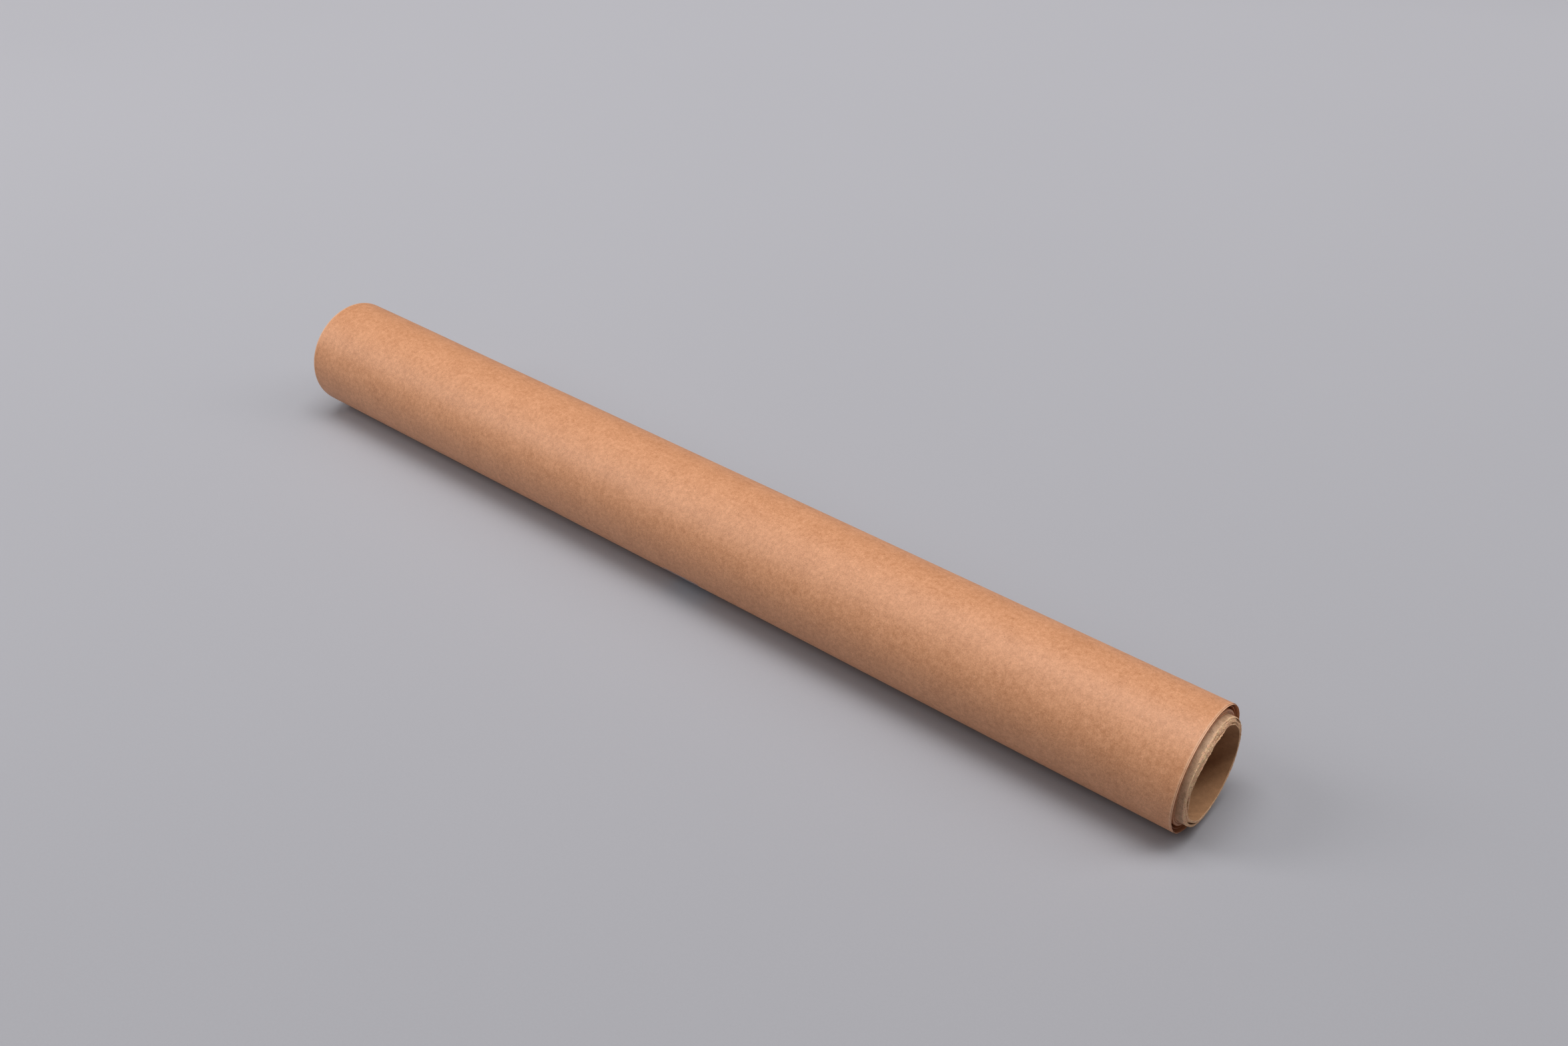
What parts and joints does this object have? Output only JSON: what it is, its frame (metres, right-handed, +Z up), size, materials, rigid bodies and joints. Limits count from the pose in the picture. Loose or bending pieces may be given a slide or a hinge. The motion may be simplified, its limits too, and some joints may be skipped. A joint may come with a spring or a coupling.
{
  "type": "backdrop paper roll",
  "caption": "Short roll of kraft backdrop paper on a paperboard core that slips lengthwise, its loose outer turns closed with clear tape.",
  "frame": {"origin": "on the axis of the core's bore, at the middle of the paper's width", "axes": "+X along the roll, towards the end where the inner turns stand back; +Z up with the roll lying on its outer turns; +Y away from the side where the free edge is taped"},
  "size_m": [0.464, 0.0499, 0.0498],
  "materials": {
    "kraft_paper": "matte",
    "core_board": "matte",
    "core_liner": "satin",
    "clear_tape": "gloss"
  },
  "bodies": {
    "outer_turns": {"outer_turns": "kraft_paper", "loose_turn": "kraft_paper", "closing_tape": "clear_tape"},
    "inner_turns": {"inner_turns": "kraft_paper"},
    "core": {"core_inner_liner": "core_board", "core_ply_1": "core_board", "core_ply_2": "core_board", "core_ply_3": "core_board", "core_outer_liner": "core_liner"}
  },
  "joints": [
    {"name": "pack_turn", "type": "hinge", "parent": "outer_turns", "child": "inner_turns", "pos_m": [0, 0, 0], "axis": [1, 0, 0], "range_deg": [-15, 350]},
    {"name": "core_slide", "type": "slide", "parent": "inner_turns", "child": "core", "axis": [1, 0, 0], "range_m": [-0.46, 0.46]}
  ]
}
